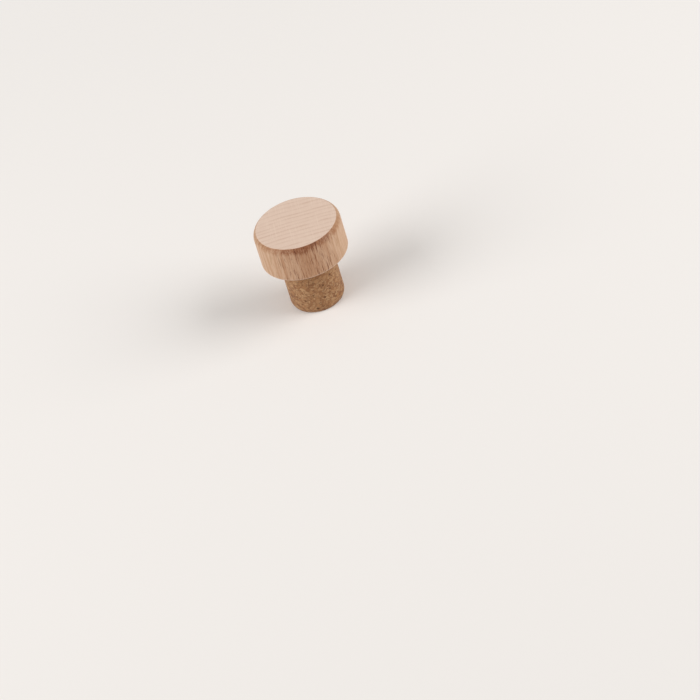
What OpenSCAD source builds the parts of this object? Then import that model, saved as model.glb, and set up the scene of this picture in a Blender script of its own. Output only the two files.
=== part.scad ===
// Bottle stopper: a turned wooden head glued onto a straight shank of agglomerated cork.
// It stands on the cork's lower end, with the head up. The origin is the middle of that end
// and +Z runs up the axis of turning. Lengths are in millimetres.

/* [Head] */
// Diameter of the head
head_d = 31; // [28:0.5:36]
// Height of the head, from its underside to its flat top
head_h = 13; // [9:0.5:18]
// Radius of the arc that rounds the upper rim
rim_r = 2.65; // [2.3:0.05:4]
// How far below the top the rim arc runs out into the straight side
rim_drop = 2.2; // [1:0.1:2.3]
// Radius of the eased lower edge
heel_r = 0.3; // [0.1:0.05:0.8]

/* [Cork] */
// Free diameter of the cork, which squeezes into a bottle's bore
cork_d = 19.5; // [18:0.1:21]
// Length of cork that stands out below the head
cork_len = 20; // [15:0.5:28]
// Height of the bevel round the cork's lower end
bevel_h = 1.5; // [0.5:0.1:3]
// How far that bevel takes in the radius
bevel_w = 0.65; // [0.3:0.05:1.5]

/* [Glued seat] */
// Depth of the blind recess that the cork is glued into
seat_depth = 3; // [1.5:0.25:5]
// How far the recess squeezes in the cork's radius
squeeze = 0.25; // [0.1:0.05:0.5]
// Glue round the seated end, between its wall and the recess
glue_line = 0.05; // [0.02:0.01:0.15]
// Gap between the cork and the mouth of the recess
mouth_gap = 0.15; // [0.05:0.05:0.4]

/* [Hidden] */
$fn = 144;

head_r = head_d / 2;
cork_r = cork_d / 2;
underside_z = cork_len;
seat_r = cork_r - squeeze;
recess_r = seat_r + glue_line;
mouth_r = cork_r + mouth_gap;

// What a cut runs past the surface that it opens
past = 1;

// Half section of the head with its underside on the X axis
module head_section() {
    difference() {
        square([head_r, head_h]);
        rim_waste();
        heel_waste();
        recess_section();
    }
}

// Waste outside the rim arc, which leaves the side smoothly and meets the top at a crease
module rim_waste() {
    translate([head_r - rim_r, head_h - rim_drop])
        difference() {
            square([rim_r + past, rim_drop + past]);
            circle(r = rim_r);
        }
}

// Waste outside the small arc of the lower edge
module heel_waste() {
    translate([head_r - heel_r, heel_r])
        difference() {
            translate([0, -heel_r - past])
                square([heel_r + past, heel_r + past]);
            circle(r = heel_r);
        }
}

// Half section of the flat-bottomed recess, with its mouth bevelled at 45 degrees
module recess_section() {
    mouth_w = mouth_r - recess_r;
    polygon([
        [-past, -past],
        [mouth_r + past, -past],
        [recess_r, mouth_w],
        [recess_r, seat_depth],
        [-past, seat_depth],
    ]);
}

// Half section of the cork with its lower end on the X axis
module cork_section() {
    polygon([
        [0, 0],
        [cork_r - bevel_w, 0],
        [cork_r, bevel_h],
        [cork_r, cork_len],
        [seat_r, cork_len + squeeze],
        [seat_r, cork_len + seat_depth],
        [0, cork_len + seat_depth],
    ]);
}

module wooden_head() {
    color("#cfa884")
        translate([0, 0, underside_z])
            rotate_extrude()
                head_section();
}

module cork_shank() {
    color("#a9774e")
        rotate_extrude()
            cork_section();
}

wooden_head();
cork_shank();
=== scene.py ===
import math

import bpy
import numpy as np
from mathutils import Matrix, Vector


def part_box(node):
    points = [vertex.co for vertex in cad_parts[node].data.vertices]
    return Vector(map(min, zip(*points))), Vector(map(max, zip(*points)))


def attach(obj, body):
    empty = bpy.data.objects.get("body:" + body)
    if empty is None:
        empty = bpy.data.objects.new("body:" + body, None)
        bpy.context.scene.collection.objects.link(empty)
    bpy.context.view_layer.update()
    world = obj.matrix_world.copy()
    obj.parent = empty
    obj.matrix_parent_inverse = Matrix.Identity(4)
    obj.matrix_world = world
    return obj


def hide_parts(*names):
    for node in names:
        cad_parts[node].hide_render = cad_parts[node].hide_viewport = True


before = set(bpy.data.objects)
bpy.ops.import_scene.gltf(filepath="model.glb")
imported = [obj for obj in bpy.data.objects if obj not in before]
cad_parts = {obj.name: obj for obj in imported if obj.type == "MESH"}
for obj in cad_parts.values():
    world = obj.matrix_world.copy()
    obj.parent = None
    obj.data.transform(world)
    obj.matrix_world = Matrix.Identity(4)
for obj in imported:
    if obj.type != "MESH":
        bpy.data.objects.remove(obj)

# Dresses the bottle stopper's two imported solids: a turned beech head and a shank of fine
# agglomerated cork. Lengths in Python are metres, and those inside the materials are
# millimetres, which is what the sizes of grain and granules are quoted in.

bl_info = {
    "name": "Wooden Bottle Stopper",
    "version": (1, 0, 0),
    "blender": (4, 5, 0),
    "location": "3D View > Sidebar > Stopper",
    "description": "Turns a beech stopper head and its cork shank, and sets a studio round them",
    "category": "Add Mesh",
}

MM = 0.001
MM_PER_METRE = 1000.0
IMAGE_SIDE_PX = 700.0
SENSOR_WIDTH_MM = 36.0
# How many points go once round the head, the cork and the floor
HEAD_COLUMNS = 480
CORK_COLUMNS = 540
FLOOR_CORNERS = 96

HEAD_LOW, HEAD_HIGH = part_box("wooden_head")
CORK_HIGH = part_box("cork_shank")[1]
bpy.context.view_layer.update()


def linear(hex_colour):
    """Turns an sRGB hex colour such as #d9bfad into linear red, green, blue and a full alpha."""
    parts = [int(hex_colour[i:i + 2], 16) / 255 for i in (1, 3, 5)]
    parts = [p / 12.92 if p <= 0.04045 else ((p + 0.055) / 1.055) ** 2.4 for p in parts]
    return (*parts, 1.0)


# ---------------------------------------------------------------- settings


def length(name, description, default):
    """A length in metres, shown in the units of the scene."""
    return bpy.props.FloatProperty(
        name=name, description=description, default=default, min=0.0, unit="LENGTH", precision=5)


def colour(name, description, hex_colour):
    """A colour, given as sRGB hex and kept as linear values."""
    return bpy.props.FloatVectorProperty(
        name=name, description=description, default=linear(hex_colour),
        size=4, min=0.0, max=1.0, subtype="COLOR")


class HeadSettings(bpy.types.PropertyGroup):
    """Form and finish of the turned beech head"""

    rim_radius: length("Rim radius", "Radius of the arc that rounds the upper rim", 2.65 * MM)
    rim_drop: length("Rim drop", "How far below the top that arc runs out into the side", 2.2 * MM)
    crease_ease: length("Crease ease", "Radius sanded onto the crease round the top", 0.16 * MM)
    heel_radius: length("Heel radius", "Radius of the eased lower edge", 0.3 * MM)
    recess_depth: length("Recess depth", "Depth of the blind recess that holds the cork", 3 * MM)
    recess_radius: length("Recess radius", "Radius of that recess", 9.55 * MM)
    mouth_radius: length("Mouth radius", "Radius of the recess's bevelled mouth", 9.9 * MM)
    raised_grain: length("Raised grain", "Height of the fibres left by sanding", 0.012 * MM)
    ring_spacing: length("Ring spacing", "Distance from one growth ring to the next", 2.1 * MM)
    pith_distance: length("Pith distance", "How far off the middle of the tree was", 200 * MM)
    ring_turn: bpy.props.FloatProperty(
        name="Ring turn", description="Angle of the rings to the X axis", default=math.radians(-2),
        subtype="ANGLE")
    ring_phase: bpy.props.FloatProperty(
        name="Ring phase", description="Share of a ring by which all of them are moved",
        default=0.75, min=0.0, max=1.0, subtype="FACTOR")
    side_colour: colour("Side grain", "Long grain where the rings face outwards", "#c8a183")
    quarter_colour: colour("Quarter grain", "Long grain where the rays face outwards", "#d3b397")
    ray_colour: colour("Rays", "Rays where the end grain cuts them lengthwise", "#e6d0be")
    streak_colour: colour("Streaks", "Darker streaks along the fibres", "#a9734b")
    fleck_colour: colour("Flecks", "Ends of the rays, seen as short upright flecks", "#70360c")
    flake_colour: colour("Flakes", "Rays laid open lengthwise on the quarter grain", "#bf9874")
    end_colour: colour("End grain", "End grain on the flat top", "#dec5b3")
    late_colour: colour("Late wood", "Line of late wood at the end of each ring", "#c6a792")
    rub_tint: colour("Rubbed", "What the light brown of the rubbed rim leaves of the wood",
                     "#dac3ac")
    scorch_tint: colour("Scorched", "What the dark brown of its hottest part leaves of that",
                        "#d2c0b9")


class CorkSettings(bpy.types.PropertyGroup):
    """Form and finish of the agglomerated cork shank"""

    seat_radius: length("Seat radius", "Radius of the end squeezed into the head", 9.5 * MM)
    neck_height: length("Neck height", "Height over which the cork narrows to its seat", 0.25 * MM)
    bevel_height: length("Bevel height", "Height of the bevel round the lower end", 1.5 * MM)
    bevel_width: length("Bevel width", "How far the bevel takes in the radius", 0.65 * MM)
    granule: length("Granule", "Usual size of a cork granule", 1.5 * MM)
    pit_spacing: length("Pit spacing", "Distance between pits where a granule fell out", 2 * MM)
    pit_depth: length("Pit depth", "Depth of the deepest pits", 0.22 * MM)
    light_colour: colour("Light granules", "Palest granules", "#c79f74")
    main_colour: colour("Main granules", "Most of the granules", "#ad7f55")
    dark_colour: colour("Dark granules", "Darkest granules", "#85593a")
    bark_colour: colour("Bark", "Specks of bark and the binder in the gaps", "#4c3020")


class StageSettings(bpy.types.PropertyGroup):
    """Floor, light and camera"""

    floor_radius: length("Floor radius", "Where the pale floor has faded out", 0.42)
    backdrop_colour: colour("Backdrop", "Floor and background", "#f0ece8")
    sky_strength: bpy.props.FloatProperty(
        name="Sky", description="Even light from all round", default=0.4, min=0.0)
    side_power: bpy.props.FloatProperty(
        name="Side lights", description="Power of each of the two softboxes", default=7.6,
        min=0.0, unit="POWER")
    side_azimuth: bpy.props.FloatProperty(
        name="Side azimuth", description="How far round from the camera each softbox stands",
        default=math.radians(77), subtype="ANGLE")
    side_height: bpy.props.FloatProperty(
        name="Side height", description="How high each softbox stands above the horizon",
        default=math.radians(34), subtype="ANGLE")
    side_distance: length("Side distance", "From the stopper to each softbox", 1.1)
    side_size: length("Side size", "Side of each square softbox", 0.8)
    camera_elevation: bpy.props.FloatProperty(
        name="Elevation", description="Angle that the camera looks down at",
        default=math.radians(36.34), subtype="ANGLE")
    camera_roll: bpy.props.FloatProperty(
        name="Roll", description="Turn of the camera about its own axis",
        default=math.radians(-17.43), subtype="ANGLE")
    camera_distance: length("Camera distance", "From the camera to the head's underside", 0.9037)
    focal_length: bpy.props.FloatProperty(
        name="Focal length", description="Focal length of the lens", default=133.7, min=1.0,
        unit="CAMERA")
    seat_pixel: bpy.props.FloatVectorProperty(
        name="Seat pixel", description="Where the middle of the head's underside is in the image",
        default=(304.8, 252.0), size=2)


# ---------------------------------------------------------------- surfaces


def straight(start, end, steps):
    """Points along a line, without its last: the start plus an even share of the way a step."""
    share = np.arange(steps)[:, None] / steps
    return np.array(start) + (np.array(end) - np.array(start)) * share


def arc(centre, radius, first, last, steps):
    """Points round an arc, without its last: radius and height are the centre's plus the arc's
    radius times the cosine and the sine of an angle that goes evenly from first to last."""
    angle = first + (last - first) * np.arange(steps) / steps
    return np.array(centre) + radius * np.stack([np.cos(angle), np.sin(angle)], axis=1)


def lattice(cells, seed):
    """A fixed number from 0 to 1 for each whole-number point: the point's coordinates and the
    seed are multiplied by large odd numbers, mixed by shifts, and the middle bits are kept."""
    mask = 0xFFFFFFFF
    mixed = (cells[..., 0] * 374761393 + cells[..., 1] * 668265263
             + cells[..., 2] * 2246822519 + seed * 3266489917) & mask
    mixed = ((mixed ^ (mixed >> 15)) * 2246822519) & mask
    mixed = ((mixed ^ (mixed >> 13)) * 3266489917) & mask
    return ((mixed ^ (mixed >> 16)) >> 8 & 0xFFFF) / 0xFFFF


def value_noise(points, size, seed):
    """Smooth noise from 0 to 1: each point takes the lattice numbers of the eight corners
    round it, mixed by a smooth step of how far it is from each along the three axes."""
    spot = points / np.array(size)
    base = np.floor(spot).astype(np.int64)
    share = spot - base
    share = share * share * (3 - 2 * share)
    total = np.zeros(spot.shape[:-1])
    for corner in np.ndindex(2, 2, 2):
        weight = np.prod(np.where(corner, share, 1 - share), axis=-1)
        total += weight * lattice(base + np.array(corner), seed)
    return total


def nearest_seed(points, size, seed):
    """Distance to the nearest of one scattered seed a cell, in cells, and that seed's number:
    each cell's seed lies at three lattice numbers inside it, and the 27 cells round a point
    are compared."""
    spot = points / size
    base = np.floor(spot).astype(np.int64)
    nearest = np.full(spot.shape[:-1], np.inf)
    number = np.zeros(spot.shape[:-1])
    for step in np.ndindex(3, 3, 3):
        cell = base + np.array(step) - 1
        scatter = np.stack([lattice(cell, seed + axis) for axis in range(3)], axis=-1)
        away = np.linalg.norm(spot - cell - scatter, axis=-1)
        number = np.where(away < nearest, lattice(cell, seed + 3), number)
        nearest = np.minimum(nearest, away)
    return nearest, number


def smooth_step(value, low, high):
    """Goes from 0 at low to 1 at high along a curve that is level at both ends."""
    share = np.clip((value - low) / (high - low), 0, 1)
    return share * share * (3 - 2 * share)


def outward(profile):
    """Unit normals of a profile that runs down the outside: its direction at each point, from
    the point before to the point after, turned a quarter turn to the left."""
    along = np.gradient(profile, axis=0)
    across = np.stack([-along[:, 1], along[:, 0]], axis=1)
    return across / np.linalg.norm(across, axis=1, keepdims=True)


def turned_surface(context, name, profile, columns, depth):
    """A closed surface of revolution. Each profile point, a radius and a height, goes round the
    Z axis in even steps of angle, and is then sunk along its normal by depth, a function of the
    point's place. The first and last profile points are the two poles. Gives back the piece and
    the places of its vertices before they were sunk."""
    rings = profile[1:-1]
    normal = outward(profile)[1:-1]
    angle = 2 * np.pi * np.arange(columns) / columns
    turn = np.stack([np.cos(angle), np.sin(angle)], axis=1)

    def spin(pairs):
        """Radius and height pairs, each carried round to every angle."""
        flat = pairs[:, None, 0, None] * turn[None]
        height = np.broadcast_to(pairs[:, None, 1, None], (len(pairs), columns, 1))
        return np.concatenate([flat, height], axis=2)

    points = spin(rings)
    poles = [[0, 0, profile[0, 1]], [0, 0, profile[-1, 1]]]
    unsunk = np.concatenate([points.reshape(-1, 3), poles])
    points = points - spin(normal) * depth(points)[..., None]
    vertices = np.concatenate([points.reshape(-1, 3), poles])

    row, column = np.meshgrid(np.arange(len(rings) - 1), np.arange(columns), indexing="ij")
    after = (column + 1) % columns
    quads = np.stack([row * columns + column, (row + 1) * columns + column,
                      (row + 1) * columns + after, row * columns + after], axis=-1)
    first, second = np.arange(columns), (np.arange(columns) + 1) % columns
    last_row = (len(rings) - 1) * columns
    first_pole = len(rings) * columns
    caps = np.concatenate([
        np.stack([np.full(columns, first_pole), first, second], axis=1),
        np.stack([np.full(columns, first_pole + 1), last_row + second, last_row + first], axis=1)])
    mesh = bpy.data.meshes.new(name)
    mesh.from_pydata(vertices, [], quads.reshape(-1, 4).tolist() + caps.tolist())
    mesh.shade_smooth()
    piece = bpy.data.objects.new(name, mesh)
    context.scene.collection.objects.link(piece)
    return piece, unsunk


def head_profile(form):
    """Section of the head from the middle of its top, out and down the side, to the middle of
    the recess's floor. The ease on the crease is an arc that touches the flat top and, from
    inside, the rim arc, so its middle is rim radius less ease from the rim arc's middle. The
    last number of each stretch is how many steps it has."""
    radius, top, underside = HEAD_HIGH.x, HEAD_HIGH.z, HEAD_LOW.z
    rim_middle = (radius - form.rim_radius, top - form.rim_drop)
    ease = form.crease_ease
    rise = form.rim_drop - ease
    ease_middle = (rim_middle[0] + math.sqrt((form.rim_radius - ease) ** 2 - rise ** 2), top - ease)
    meet = math.atan2(rise, ease_middle[0] - rim_middle[0])
    heel = form.heel_radius
    quarter = math.pi / 2
    bevel_top = underside + form.mouth_radius - form.recess_radius
    floor = underside + form.recess_depth
    return np.concatenate([
        straight((0, top), (ease_middle[0], top), 64),
        arc(ease_middle, ease, quarter, meet, 5),
        arc(rim_middle, form.rim_radius, meet, 0, 20),
        straight((radius, rim_middle[1]), (radius, underside + heel), 56),
        arc((radius - heel, underside + heel), heel, 0, -quarter, 6),
        straight((radius - heel, underside), (form.mouth_radius, underside), 20),
        straight((form.mouth_radius, underside), (form.recess_radius, bevel_top), 3),
        straight((form.recess_radius, bevel_top), (form.recess_radius, floor), 6),
        straight((form.recess_radius, floor), (0, floor), 8),
        [(0, floor)]])


def cork_profile(form):
    """Section of the cork from the middle of its seated end, down its side and round the bevel,
    to the middle of its foot. The last number of each stretch is how many steps it has."""
    radius, top = CORK_HIGH.x, CORK_HIGH.z
    underside = HEAD_LOW.z
    foot_radius = radius - form.bevel_width
    return np.concatenate([
        straight((0, top), (form.seat_radius, top), 6),
        straight((form.seat_radius, top), (form.seat_radius, underside + form.neck_height), 6),
        straight((form.seat_radius, underside + form.neck_height), (radius, underside), 3),
        straight((radius, underside), (radius, form.bevel_height), 108),
        straight((radius, form.bevel_height), (foot_radius, 0), 10),
        straight((foot_radius, 0), (0, 0), 46),
        [(0, 0)]])


# ---------------------------------------------------------------- materials


def add(tree, kind, inputs=None, **settings):
    """Adds a node of a kind, with its settings, and sets or links its inputs by name or number.
    Only the sockets that those settings leave in use count, and a node given as an input stands
    for its first output in use."""
    made = tree.nodes.new(kind)
    for name, value in settings.items():
        setattr(made, name, value)
    live = [socket for socket in made.inputs if socket.enabled]
    for key, value in (inputs or {}).items():
        socket = live[key] if isinstance(key, int) else next(s for s in live if s.name == key)
        if isinstance(value, bpy.types.Node):
            value = next(output for output in value.outputs if output.enabled)
        if isinstance(value, bpy.types.NodeSocket):
            tree.links.new(value, socket)
        else:
            socket.default_value = value
    return made


def empty_material(name):
    """A new material and its node tree, with no nodes in it."""
    material = bpy.data.materials.new(name)
    material.use_nodes = True
    material.node_tree.nodes.clear()
    return material, material.node_tree


def close_material(tree, colour_node, roughness, height, height_mm, gloss):
    """Ends a material: a bump in which a height of 1 stands for height_mm, and the shader, whose
    values in gloss are the same all over."""
    bump = add(tree, "ShaderNodeBump", {"Height": height, "Distance": height_mm * MM})
    shader = add(tree, "ShaderNodeBsdfPrincipled",
                 {"Base Color": colour_node, "Roughness": roughness, "Normal": bump, **gloss})
    add(tree, "ShaderNodeOutputMaterial", {"Surface": shader})


def object_places(tree):
    """Places on the piece in millimetres, and which way its surface faces."""
    place = add(tree, "ShaderNodeTexCoord")
    in_mm = add(tree, "ShaderNodeVectorMath",
                {0: place.outputs["Object"], "Scale": MM_PER_METRE}, operation="SCALE")
    return in_mm, place.outputs["Normal"]


def wood_space(tree, in_mm, form):
    """Places in the log, in millimetres: X along the rings, Y out from the pith and Z along the
    fibres. The grain wanders by about half a millimetre, over 14 mm across and 30 mm along."""
    turned = add(tree, "ShaderNodeVectorRotate", {"Vector": in_mm, "Angle": -form.ring_turn},
                 rotation_type="Z_AXIS")
    slow = add(tree, "ShaderNodeVectorMath", {0: turned, 1: (14.0, 14.0, 30.0)},
               operation="DIVIDE")
    wander = add(tree, "ShaderNodeTexNoise", {"Vector": slow, "Scale": 1.0, "Detail": 2.0})
    centred = add(tree, "ShaderNodeVectorMath",
                  {0: wander.outputs["Color"], 1: (0.5, 0.5, 0.5)}, operation="SUBTRACT")
    return add(tree, "ShaderNodeVectorMath", {0: centred, 1: (1.2, 1.5, 0.0), 2: turned},
               operation="MULTIPLY_ADD")


def late_wood(tree, grain, form):
    """Late wood of the growth rings, 0 to 1: it darkens slowly across a ring and stops short.
    Rings are circles round the pith, so they bow by half the square of X over its distance. A
    slow noise makes some wider than others, and a share of a ring is added to move them all."""
    split = add(tree, "ShaderNodeSeparateXYZ", {0: grain})
    square = add(tree, "ShaderNodeMath", {0: split.outputs["X"], 1: split.outputs["X"]},
                 operation="MULTIPLY")
    bow = add(tree, "ShaderNodeMath",
              {0: square, 1: 0.5 / (form.pith_distance * MM_PER_METRE), 2: split.outputs["Y"]},
              operation="MULTIPLY_ADD")
    years = add(tree, "ShaderNodeTexNoise", {"W": bow, "Scale": 0.31, "Detail": 0.0},
                noise_dimensions="1D")
    uneven = add(tree, "ShaderNodeMath", {0: years, 1: 1.5, 2: bow}, operation="MULTIPLY_ADD")
    count = add(tree, "ShaderNodeMath", {0: uneven, 1: form.ring_spacing * MM_PER_METRE},
                operation="DIVIDE")
    shifted = add(tree, "ShaderNodeMath", {0: count, 1: form.ring_phase}, operation="ADD")
    year = add(tree, "ShaderNodeMath", {0: shifted}, operation="FRACT")
    darkest = 0.93
    darken = add(tree, "ShaderNodeMapRange",
                 {"Value": year, "From Min": 0.5, "From Max": darkest},
                 interpolation_type="SMOOTHERSTEP")
    stop = add(tree, "ShaderNodeMapRange",
               {"Value": year, "From Min": darkest, "From Max": 1.0, "To Min": 1.0,
                "To Max": 0.0}, interpolation_type="SMOOTHSTEP")
    line = add(tree, "ShaderNodeMath", {0: darken, 1: stop}, operation="MULTIPLY")
    patchy = soft_noise(tree, grain, (6.0, 1.6, 20.0), 1.0)
    vary = add(tree, "ShaderNodeMapRange",
               {"Value": patchy, "From Min": 0.3, "From Max": 0.7, "To Min": 0.25, "To Max": 1.0})
    return add(tree, "ShaderNodeMath", {0: line, 1: vary}, operation="MULTIPLY")


def scattered(tree, space, spacing, share, largest, pointed=2.0):
    """Bodies scattered through a material, 0 to 1, one to a cell of the given spacing in
    millimetres. In a share of the cells it reaches further than in the rest, up to largest times
    the spacing, and each has a depth of tone of its own, which is even out to about half its
    reach. Its outline is an ellipse where pointed is 2, and a lens with pointed ends near 1."""
    cells = add(tree, "ShaderNodeVectorMath", {0: space, 1: spacing}, operation="DIVIDE")
    seeds = add(tree, "ShaderNodeTexVoronoi", {"Vector": cells, "Scale": 1.0, "Exponent": pointed},
                distance="MINKOWSKI")
    own = add(tree, "ShaderNodeSeparateColor", {0: seeds.outputs["Color"]})
    reach = add(tree, "ShaderNodeMapRange",
                {"Value": own.outputs["Red"], "From Min": 1 - share, "To Min": 0.2 * largest,
                 "To Max": largest})
    core = add(tree, "ShaderNodeMath", {0: reach, 1: 0.55}, operation="MULTIPLY")
    tone = add(tree, "ShaderNodeMapRange", {"Value": own.outputs["Green"], "To Min": 0.6})
    return add(tree, "ShaderNodeMapRange",
               {"Value": seeds.outputs["Distance"], "From Min": core, "From Max": reach,
                "To Min": tone, "To Max": 0.0}, interpolation_type="SMOOTHSTEP")


def soft_noise(tree, space, size, detail):
    """Noise from 0 to 1 with features of the given size in millimetres."""
    cells = add(tree, "ShaderNodeVectorMath", {0: space, 1: size}, operation="DIVIDE")
    return add(tree, "ShaderNodeTexNoise", {"Vector": cells, "Scale": 1.0, "Detail": detail})


def rubbed_rim(tree, in_mm, streaks, form):
    """Where the tool rubbed the rim brown, 0 to 1. It starts at the crease and fades down the
    side along the fibres, furthest at the middle of -Y and towards +X, and is faint round the
    far half."""
    split = add(tree, "ShaderNodeSeparateXYZ", {0: in_mm})
    across = add(tree, "ShaderNodeVectorMath", {0: in_mm, 1: (1.0, 1.0, 0.0)},
                 operation="MULTIPLY")
    radius = add(tree, "ShaderNodeVectorMath", {0: across}, operation="LENGTH")
    below = add(tree, "ShaderNodeMath", {0: HEAD_HIGH.z * MM_PER_METRE, 1: split.outputs["Z"]},
                operation="SUBTRACT")
    side = HEAD_HIGH.x * MM_PER_METRE
    front = add(tree, "ShaderNodeMapRange",
                {"Value": split.outputs["Y"], "From Min": -side, "From Max": 1.1 - side,
                 "To Min": 1.0, "To Max": 0.0}, interpolation_type="SMOOTHSTEP")
    right = add(tree, "ShaderNodeMapRange",
                {"Value": split.outputs["X"], "From Min": 0.5 * side, "From Max": 0.9 * side})
    # Half a millimetre down, and further where there are streaks, at -Y and towards +X
    reach = summed(tree, 0.5, (streaks, 0.9), (front, 0.5), (right, 0.6))
    # It fades from 1.3 mm above that to 1.8 mm below it, and starts just outside the crease.
    level = add(tree, "ShaderNodeMath", {0: below, 1: reach}, operation="SUBTRACT")
    fade = add(tree, "ShaderNodeMapRange",
               {"Value": level, "From Min": -1.3, "From Max": 1.8, "To Min": 1.0, "To Max": 0.0},
               interpolation_type="SMOOTHERSTEP")
    crease = MM_PER_METRE * (HEAD_HIGH.x - form.rim_radius + math.sqrt(
        form.rim_radius ** 2 - form.rim_drop ** 2))
    off_top = add(tree, "ShaderNodeMapRange",
                  {"Value": radius, "From Min": crease - 0.1, "From Max": crease + 0.2},
                  interpolation_type="SMOOTHSTEP")
    near_half = add(tree, "ShaderNodeMapRange",
                    {"Value": split.outputs["Y"], "From Min": -0.5 * side,
                     "From Max": 0.1 * side, "To Min": 1.0, "To Max": 0.4})
    band = add(tree, "ShaderNodeMath", {0: fade, 1: off_top}, operation="MULTIPLY")
    return add(tree, "ShaderNodeMath", {0: band, 1: near_half}, operation="MULTIPLY")


def layered(tree, base, *layers):
    """Lays colours over a base, each by its own share and strength."""
    for share, strength, over in layers:
        thinned = add(tree, "ShaderNodeMath", {0: share, 1: strength}, operation="MULTIPLY")
        base = add(tree, "ShaderNodeMix", {"Factor": thinned, "A": base, "B": over},
                   data_type="RGBA")
    return base


def summed(tree, start, *parts):
    """Adds up heights or shares, each times its own weight, from a starting number."""
    total = start
    for share, weight in parts:
        total = add(tree, "ShaderNodeMath", {0: share, 1: weight, 2: total},
                    operation="MULTIPLY_ADD")
    return total


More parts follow.
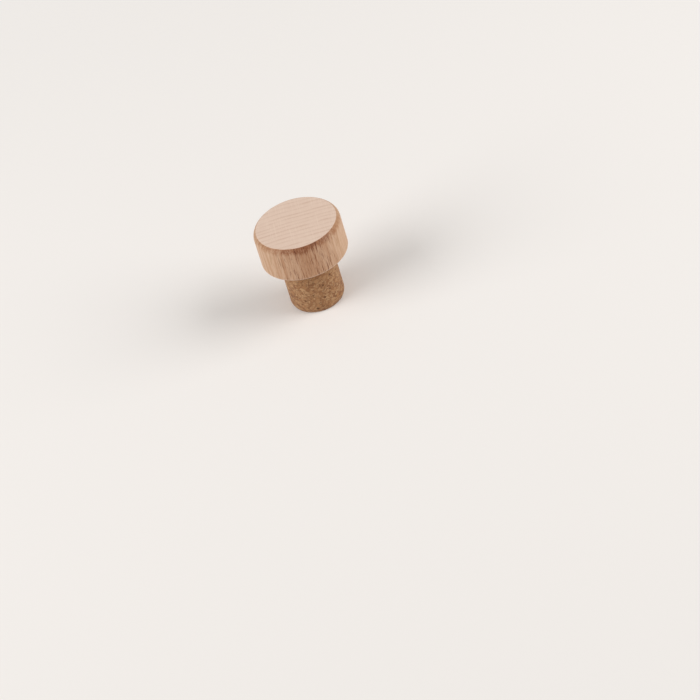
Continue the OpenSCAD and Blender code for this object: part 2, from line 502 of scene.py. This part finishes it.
def beech(form):
    """Beech, turned with the fibres along the lathe's axis and sanded fine. Bare and dull:
    pinkish end grain on top with thin late-wood lines and pale rays, browner long grain on the
    side with short dark flecks where the rays end, and a brown rim."""
    material, tree = empty_material("Beech, turned and fine-sanded")
    in_mm, normal = object_places(tree)
    grain = wood_space(tree, in_mm, form)
    late = late_wood(tree, grain, form)
    # Beech rays are up to 0.2 mm wide, and are drawn about twice as wide so that they show.
    ray_share = 0.9
    ray_point = 1.25
    broad_rays = scattered(tree, grain, (0.42, 16.0, 8.5), ray_share, 0.56, ray_point)
    middling_rays = scattered(tree, grain, (0.3, 12.0, 5.8), ray_share, 0.56, ray_point)
    fine_rays = scattered(tree, grain, (0.2, 8.0, 2.6), ray_share, 0.5, ray_point)
    # Its pores are 0.05 mm wide, and are drawn at about 0.15 mm so that they show.
    pores = scattered(tree, grain, (0.22, 0.22, 3.0), 1.0, 0.4)
    broad_streaks = soft_noise(tree, grain, (0.4, 0.7, 14.0), 3.0)
    fine_streaks = soft_noise(tree, grain, (0.12, 0.2, 5.0), 3.0)
    mottle = soft_noise(tree, grain, (3.5, 1.4, 12.0), 4.0)

    facing = add(tree, "ShaderNodeSeparateXYZ", {0: normal})
    flat = add(tree, "ShaderNodeVectorMath", {0: in_mm, 1: (1.0, 1.0, 0.0)},
               operation="MULTIPLY")
    outwards = add(tree, "ShaderNodeVectorMath", {0: flat}, operation="NORMALIZE")
    outwards_x = add(tree, "ShaderNodeSeparateXYZ", {0: outwards}).outputs["X"]
    quarter = add(tree, "ShaderNodeMath", {0: outwards_x}, operation="ABSOLUTE")
    upright = add(tree, "ShaderNodeMath", {0: facing.outputs["Z"]}, operation="ABSOLUTE")
    # Long grain turns to end grain over the eased crease, from 30 to 10 degrees off level.
    end_share = add(tree, "ShaderNodeMapRange",
                    {"Value": upright, "From Min": 0.86, "From Max": 0.985},
                    interpolation_type="SMOOTHSTEP")

    streaks = summed(tree, 0.0, (broad_streaks, 0.6), (fine_streaks, 0.4))
    streak_share = add(tree, "ShaderNodeMapRange",
                       {"Value": streaks, "From Min": 0.4, "From Max": 0.62},
                       interpolation_type="SMOOTHSTEP")
    quarter_share = add(tree, "ShaderNodeMapRange",
                        {"Value": quarter, "From Min": 0.15, "From Max": 0.95})
    streaks_show = add(tree, "ShaderNodeMapRange",
                       {"Value": quarter, "From Min": 0.3, "To Min": 0.6, "To Max": 0.3})
    late_shows = add(tree, "ShaderNodeMapRange",
                     {"Value": quarter, "From Min": 0.4, "To Min": 0.45, "To Max": 0.6})
    flaked = add(tree, "ShaderNodeMapRange",
                 {"Value": quarter, "From Min": 0.35, "From Max": 0.9},
                 interpolation_type="SMOOTHSTEP")
    ray_ends = add(tree, "ShaderNodeMix",
                   {"Factor": flaked, "A": form.fleck_colour, "B": form.flake_colour},
                   data_type="RGBA")
    # A ray that lies along the surface would show as one wide stain, so rays fade there.
    fleck_share = add(tree, "ShaderNodeMapRange",
                      {"Value": quarter, "From Min": 0.85, "From Max": 0.98, "To Min": 0.95,
                       "To Max": 0.2})
    # Painted highlight: the eased lower edge and the side up to 0.7 mm above the underside are made
    # paler, as if lit from below. Only the eased edge itself cuts across the fibres.
    underside_mm = HEAD_LOW.z * MM_PER_METRE
    place = add(tree, "ShaderNodeSeparateXYZ", {0: in_mm})
    heel = add(tree, "ShaderNodeMapRange",
               {"Value": place.outputs["Z"], "From Min": underside_mm + 0.15,
                "From Max": underside_mm + 0.7, "To Min": 1.0, "To Max": 0.0},
               interpolation_type="SMOOTHSTEP")
    side = layered(tree, form.side_colour,
                   (quarter_share, 1.0, form.quarter_colour),
                   (streak_share, streaks_show, form.streak_colour),
                   (late, late_shows, form.streak_colour),
                   (pores, 0.3, form.fleck_colour),
                   (fine_rays, fleck_share, ray_ends),
                   (middling_rays, fleck_share, ray_ends),
                   (broad_rays, fleck_share, ray_ends),
                   (heel, 0.4, form.end_colour))
    end = layered(tree, form.end_colour,
                  (mottle, 0.3, form.late_colour),
                  (late, 0.7, form.late_colour),
                  (pores, 0.3, form.streak_colour),
                  (fine_rays, 0.4, form.ray_colour),
                  (middling_rays, 0.35, form.ray_colour),
                  (broad_rays, 0.35, form.ray_colour))
    wood = layered(tree, side, (end_share, 1.0, end))
    rim = rubbed_rim(tree, in_mm, streak_share, form)
    rubbed = add(tree, "ShaderNodeMix", {"Factor": rim, "A": wood, "B": form.rub_tint},
                 data_type="RGBA", blend_type="MULTIPLY")
    hottest = add(tree, "ShaderNodeMapRange",
                  {"Value": quarter, "From Min": 0.3, "From Max": 0.9, "To Min": 1.0,
                   "To Max": 0.0}, interpolation_type="SMOOTHSTEP")
    patches = add(tree, "ShaderNodeMapRange",
                  {"Value": soft_noise(tree, in_mm, (2.4, 2.4, 5.0), 1.0), "From Min": 0.35,
                   "From Max": 0.6, "To Min": 0.55, "To Max": 1.2})
    hot = add(tree, "ShaderNodeMath", {0: hottest, 1: patches}, operation="MULTIPLY")
    scorch = add(tree, "ShaderNodeMath", {0: rim, 1: hot}, operation="MULTIPLY", use_clamp=True)
    browned = add(tree, "ShaderNodeMix", {"Factor": scorch, "A": rubbed, "B": form.scorch_tint},
                  data_type="RGBA", blend_type="MULTIPLY")

    roughness = summed(tree, 0.6, (end_share, 0.06), (rim, -0.08), (broad_rays, -0.1))
    height = summed(tree, 0.5, (late, 0.15), (pores, -0.35), (broad_rays, -0.15),
                    (fine_streaks, 0.25))
    close_material(tree, browned, roughness, height, 0.03,
                   {"IOR": 1.45, "Specular IOR Level": 0.35})
    return material


def granules(tree, space, size):
    """One size of cork granules: a number and a colour of its own for each, and how near the
    gap round it is, from 1 in the gap to 0 at a quarter of a millimetre from it."""
    near_mm = 0.25
    cells = add(tree, "ShaderNodeVectorMath", {0: space, "Scale": 1 / size}, operation="SCALE")
    bodies = add(tree, "ShaderNodeTexVoronoi", {"Vector": cells, "Scale": 1.0})
    edges = add(tree, "ShaderNodeTexVoronoi", {"Vector": cells, "Scale": 1.0},
                feature="DISTANCE_TO_EDGE")
    own = bodies.outputs["Color"]
    tone = add(tree, "ShaderNodeSeparateColor", {0: own})
    nearness = add(tree, "ShaderNodeMapRange",
                   {"Value": edges, "From Max": near_mm / size, "To Min": 1.0, "To Max": 0.0})
    return tone.outputs["Red"], own, nearness


def agglomerated_cork(form):
    """Cork granules bound, moulded to a rod and ground to size. Matt and warm: a mosaic of tan and
    brown granules, each with its own fine layers and with painted shade that darkens it towards the
    gaps round it, dark binder in some of the gaps between them, specks of bark, and pits where a
    granule fell out, darkened inside as painted shade."""
    material, tree = empty_material("Cork, agglomerated and ground")
    in_mm, _ = object_places(tree)
    jumble = soft_noise(tree, in_mm, (0.9, 0.9, 0.9), 3.0)
    centred = add(tree, "ShaderNodeVectorMath",
                  {0: jumble.outputs["Color"], 1: (0.5, 0.5, 0.5)}, operation="SUBTRACT")
    space = add(tree, "ShaderNodeVectorMath", {0: centred, 1: (1.2, 1.2, 1.2), 2: in_mm},
                operation="MULTIPLY_ADD")
    size = form.granule * MM_PER_METRE
    coarse_tone, coarse_own, coarse_near = granules(tree, space, size)
    small_tone, small_own, small_near = granules(tree, space, size * 0.5)
    patches = soft_noise(tree, in_mm, (2.0, 2.0, 2.0), 2.0)
    small_share = add(tree, "ShaderNodeMapRange",
                      {"Value": patches, "From Min": 0.48, "From Max": 0.5})
    tone = add(tree, "ShaderNodeMix", {"Factor": small_share, "A": coarse_tone, "B": small_tone})
    near = add(tree, "ShaderNodeMix", {"Factor": small_share, "A": coarse_near, "B": small_near})
    own = add(tree, "ShaderNodeMix", {"Factor": small_share, "A": coarse_own, "B": small_own},
              data_type="RGBA")

    broken = soft_noise(tree, in_mm, (0.7, 0.7, 0.7), 2.0)
    gap_start = add(tree, "ShaderNodeMapRange",
                    {"Value": broken, "From Min": 0.35, "From Max": 0.65, "To Min": 0.6,
                     "To Max": 1.0})
    gap = add(tree, "ShaderNodeMapRange",
              {"Value": near, "From Min": gap_start, "From Max": 1.02},
              interpolation_type="SMOOTHSTEP")
    turn = add(tree, "ShaderNodeVectorMath", {0: own, "Scale": 2 * math.pi}, operation="SCALE")
    laid = add(tree, "ShaderNodeVectorRotate", {"Vector": in_mm, "Rotation": turn},
               rotation_type="EULER_XYZ")
    layers = soft_noise(tree, laid, (1.2, 0.1, 0.5), 3.0)
    grit = soft_noise(tree, in_mm, (0.11, 0.11, 0.11), 2.0)
    bark = scattered(tree, space, (1.3, 1.3, 1.3), 0.5, 0.3, pointed=1.2)
    pit = add(tree, "ShaderNodeAttribute", attribute_name="pit").outputs["Fac"]

    pale_share = add(tree, "ShaderNodeMapRange",
                     {"Value": tone, "From Min": 0.4, "From Max": 1.0})
    dark_share = add(tree, "ShaderNodeMapRange",
                     {"Value": tone, "From Min": 0.35, "From Max": 0.0})
    shade = add(tree, "ShaderNodeMapRange", {"Value": layers, "From Min": 0.35, "From Max": 0.7})
    speckle = add(tree, "ShaderNodeMapRange", {"Value": grit, "From Min": 0.42, "From Max": 0.7})
    cork = layered(tree, form.main_colour,
                   (pale_share, 1.0, form.light_colour),
                   (dark_share, 0.9, form.dark_colour),
                   # Painted shade: each granule darkens towards the gaps round it, over a quarter
                   # of a millimetre
                   (near, 0.22, form.dark_colour),
                   (shade, 0.4, form.dark_colour),
                   (speckle, 0.35, form.dark_colour),
                   (gap, 0.5, form.bark_colour),
                   (bark, 0.85, form.bark_colour),
                   # Painted shade: the pits are darkened inside, on top of their real depth
                   (pit, 0.55, form.bark_colour))
    roughness = summed(tree, 0.78, (pale_share, -0.06), (pit, 0.12))
    height = summed(tree, 0.5, (tone, 0.2), (gap, -0.5), (layers, 0.25), (grit, 0.2))
    close_material(tree, cork, roughness, height, 0.06,
                   {"IOR": 1.4, "Specular IOR Level": 0.25, "Sheen Weight": 0.08,
                    "Sheen Roughness": 0.6})
    return material


def pale_floor(form):
    """Matt paper sweep. It fades out between 0.35 and 0.95 of its radius, so that no edge or
    horizon shows. It is clear from below, and clear to light that has come less than half a
    millimetre, so that the foot which stands on it can be seen from below."""
    material, tree = empty_material("Paper, matt white sweep")
    in_mm, _ = object_places(tree)
    distance = add(tree, "ShaderNodeVectorMath", {0: in_mm}, operation="LENGTH")
    reach = form.floor_radius * MM_PER_METRE
    faded = add(tree, "ShaderNodeMapRange",
                {"Value": distance, "From Min": 0.35 * reach, "From Max": 0.95 * reach},
                interpolation_type="SMOOTHSTEP")
    under = add(tree, "ShaderNodeNewGeometry").outputs["Backfacing"]
    path = add(tree, "ShaderNodeLightPath")
    touching = add(tree, "ShaderNodeMath", {0: path.outputs["Ray Length"], 1: 0.5 * MM},
                   operation="LESS_THAN")
    open_below = add(tree, "ShaderNodeMath", {0: touching, 1: under}, operation="MAXIMUM")
    gone = add(tree, "ShaderNodeMath", {0: faded, 1: open_below}, operation="MAXIMUM")
    paper = add(tree, "ShaderNodeBsdfDiffuse", {"Color": form.backdrop_colour, "Roughness": 0.5})
    clear = add(tree, "ShaderNodeBsdfTransparent")
    both = add(tree, "ShaderNodeMixShader", {0: gone, 1: paper, 2: clear})
    add(tree, "ShaderNodeOutputMaterial", {"Surface": both})
    return material


# ---------------------------------------------------------------- operators


class STOPPER_OT_wooden_head(bpy.types.Operator):
    """Turn the beech head"""

    bl_idname = "stopper.wooden_head"
    bl_label = "Wooden Head"

    def execute(self, context):
        form = context.scene.stopper_head

        def raised_grain(points):
            """Depth below the fibres that stand highest: a noise 0.3 mm wide and 5 mm long."""
            fibres = value_noise(points, (0.3 * MM, 0.3 * MM, 5 * MM), seed=3)
            return form.raised_grain * fibres

        head, _ = turned_surface(context, "beech_head", head_profile(form), HEAD_COLUMNS,
                                 raised_grain)
        head.data.set_sharp_from_angle(angle=math.radians(30))
        head.data.materials.append(beech(form))
        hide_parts("wooden_head")
        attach(head, "root")
        return {"FINISHED"}


class STOPPER_OT_cork_shank(bpy.types.Operator):
    """Grind the cork shank to size"""

    bl_idname = "stopper.cork_shank"
    bl_label = "Cork Shank"

    def execute(self, context):
        form = context.scene.stopper_cork
        radius = CORK_HIGH.x

        def fallen_out(points):
            """Pits, 0 to 1. A pit is an ellipsoid round a seed, a little flattened, of a size of
            its own from 0.04 to 0.3 of their spacing. The larger it is, the deeper, and two
            noises make its edge ragged."""
            ragged = (0.45 + 0.6 * value_noise(points, 0.45 * MM, seed=11)
                      + 0.5 * value_noise(points, 0.2 * MM, seed=12))
            away, number = nearest_seed(points * np.array([1, 1, 1.25]), form.pit_spacing, seed=21)
            size = 0.04 + 0.26 * number ** 2
            return (1 - smooth_step(away * ragged / size, 0.5, 1.0)) * (0.35 + 0.65 * number)

        def worn(points):
            """Depth below the ground surface: the pits, wear of 0.03 to 0.11 mm on the bevel's
            two edges that is gone 0.4 mm from them, and up to 0.018 mm of unevenness all over.
            The seated end stays as it was ground."""
            across = np.linalg.norm(points[..., :2], axis=-1)
            upper_edge = np.hypot(across - radius, points[..., 2] - form.bevel_height)
            lower_edge = np.hypot(across - radius + form.bevel_width, points[..., 2])
            edge = 1 - smooth_step(np.minimum(upper_edge, lower_edge), 0.0, 0.4 * MM)
            wear = (0.03 + 0.08 * value_noise(points, 0.8 * MM, seed=31)) * MM * edge
            uneven = 0.018 * MM * value_noise(points, 0.5 * MM, seed=41)
            shown = points[..., 2] < HEAD_LOW.z - 0.05 * MM
            return np.where(shown, form.pit_depth * fallen_out(points) + wear + uneven, 0)

        cork, unsunk = turned_surface(context, "cork_plug", cork_profile(form), CORK_COLUMNS,
                                      worn)
        # The pit attribute also tells the material where to paint shade into the pits.
        pit = cork.data.attributes.new("pit", "FLOAT", "POINT")
        pit.data.foreach_set("value", smooth_step(fallen_out(unsunk), 0.1, 0.5).astype(np.float32))
        cork.data.set_sharp_from_angle(angle=math.radians(60))
        cork.data.materials.append(agglomerated_cork(form))
        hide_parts("cork_shank")
        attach(cork, "root")
        return {"FINISHED"}


class STOPPER_OT_stage(bpy.types.Operator):
    """Set up the floor, the lights and the camera"""

    bl_idname = "stopper.stage"
    bl_label = "Stage"

    def execute(self, context):
        form = context.scene.stopper_stage
        self.lay_floor(context, form)
        self.light_sky(context, form)
        for name, side in (("softbox_left", -1), ("softbox_right", 1)):
            self.stand_softbox(context, name, side * form.side_azimuth, form)
        self.set_camera(context, form)
        context.scene.view_settings.view_transform = "Standard"
        return {"FINISHED"}

    def lay_floor(self, context, form):
        """A flat disc, one face whose corners are at even angles round its middle."""
        angle = 2 * np.pi * np.arange(FLOOR_CORNERS) / FLOOR_CORNERS
        corners = form.floor_radius * np.stack(
            [np.cos(angle), np.sin(angle), np.zeros(FLOOR_CORNERS)], axis=1)
        mesh = bpy.data.meshes.new("floor")
        mesh.from_pydata(corners, [], [list(range(FLOOR_CORNERS))])
        mesh.materials.append(pale_floor(form))
        floor = bpy.data.objects.new("floor", mesh)
        context.scene.collection.objects.link(floor)

    def light_sky(self, context, form):
        """Even light all round, and the backdrop's own colour wherever it is looked at."""
        world = bpy.data.worlds.new("Studio")
        world.use_nodes = True
        context.scene.world = world
        tree = world.node_tree
        tree.nodes.clear()
        path = add(tree, "ShaderNodeLightPath")
        seen = add(tree, "ShaderNodeMath",
                   {0: path.outputs["Is Camera Ray"], 1: path.outputs["Is Transmission Ray"]},
                   operation="MAXIMUM")
        shown = add(tree, "ShaderNodeMath", {0: seen, 1: path.outputs["Is Glossy Ray"]},
                    operation="MAXIMUM")
        light = add(tree, "ShaderNodeBackground",
                    {"Color": (1.0, 1.0, 1.0, 1.0), "Strength": form.sky_strength})
        backdrop = add(tree, "ShaderNodeBackground",
                       {"Color": form.backdrop_colour, "Strength": 1.0})
        both = add(tree, "ShaderNodeMixShader", {0: shown, 1: light, 2: backdrop})
        add(tree, "ShaderNodeOutputWorld", {"Surface": both})

    def stand_softbox(self, context, name, azimuth, form):
        """A square light that faces the stopper, so far round from the camera's side."""
        level = math.cos(form.side_height)
        towards = Vector((math.sin(azimuth) * level, -math.cos(azimuth) * level,
                          math.sin(form.side_height)))
        light = bpy.data.lights.new(name, "AREA")
        light.shape = "SQUARE"
        light.size = form.side_size
        light.energy = form.side_power
        lamp = bpy.data.objects.new(name, light)
        lamp.location = towards * form.side_distance
        lamp.rotation_euler = towards.to_track_quat("Z", "Y").to_euler()
        context.scene.collection.objects.link(lamp)

    def set_camera(self, context, form):
        """Looks down along +Y at the middle of the head's underside, is rolled about its own
        axis, and is then turned just enough to bring that point to its pixel."""
        target = Vector((0, 0, HEAD_LOW.z))
        slope = form.camera_elevation
        forward = Vector((0, math.cos(slope), -math.sin(slope)))
        right = Vector((1, 0, 0))
        level = Matrix((right, forward.cross(right), forward))
        focal_px = form.focal_length / SENSOR_WIDTH_MM * IMAGE_SIDE_PX
        aim = Vector((form.seat_pixel[0] - IMAGE_SIDE_PX / 2,
                      form.seat_pixel[1] - IMAGE_SIDE_PX / 2, focal_px))
        shift = Vector((0, 0, 1)).rotation_difference(aim).to_matrix()
        view = shift @ Matrix.Rotation(form.camera_roll, 3, "Z") @ level
        camera = bpy.data.objects.new("camera", bpy.data.cameras.new("camera"))
        camera.data.sensor_width = SENSOR_WIDTH_MM
        camera.data.lens = form.focal_length
        camera.data.clip_start = 0.01
        turned = Matrix((view[0], -view[1], -view[2])).transposed().to_4x4()
        place = target - forward * form.camera_distance
        camera.matrix_world = Matrix.Translation(place) @ turned
        context.scene.collection.objects.link(camera)
        context.scene.camera = camera


class STOPPER_PT_panel(bpy.types.Panel):
    """Sizes, colours and buttons of the bottle stopper"""

    bl_idname = "STOPPER_PT_panel"
    bl_label = "Bottle Stopper"
    bl_space_type = "VIEW_3D"
    bl_region_type = "UI"
    bl_category = "Stopper"

    def draw(self, context):
        for group, operator in (("stopper_head", STOPPER_OT_wooden_head),
                                ("stopper_cork", STOPPER_OT_cork_shank),
                                ("stopper_stage", STOPPER_OT_stage)):
            settings = getattr(context.scene, group)
            box = self.layout.box()
            box.operator(operator.bl_idname)
            for name in settings.__annotations__:
                box.prop(settings, name)


CLASSES = (HeadSettings, CorkSettings, StageSettings, STOPPER_OT_wooden_head,
           STOPPER_OT_cork_shank, STOPPER_OT_stage, STOPPER_PT_panel)


def register():
    """Registers the classes, and gives the scene its three groups of settings."""
    for each in CLASSES:
        bpy.utils.register_class(each)
    bpy.types.Scene.stopper_head = bpy.props.PointerProperty(type=HeadSettings)
    bpy.types.Scene.stopper_cork = bpy.props.PointerProperty(type=CorkSettings)
    bpy.types.Scene.stopper_stage = bpy.props.PointerProperty(type=StageSettings)


def unregister():
    """Undoes what register does."""
    del bpy.types.Scene.stopper_head, bpy.types.Scene.stopper_cork, bpy.types.Scene.stopper_stage
    for each in reversed(CLASSES):
        bpy.utils.unregister_class(each)


def main():
    """Makes the stage and the pieces."""
    register()
    bpy.ops.stopper.stage()
    bpy.ops.stopper.wooden_head()
    bpy.ops.stopper.cork_shank()


if __name__ == "__main__":
    main()
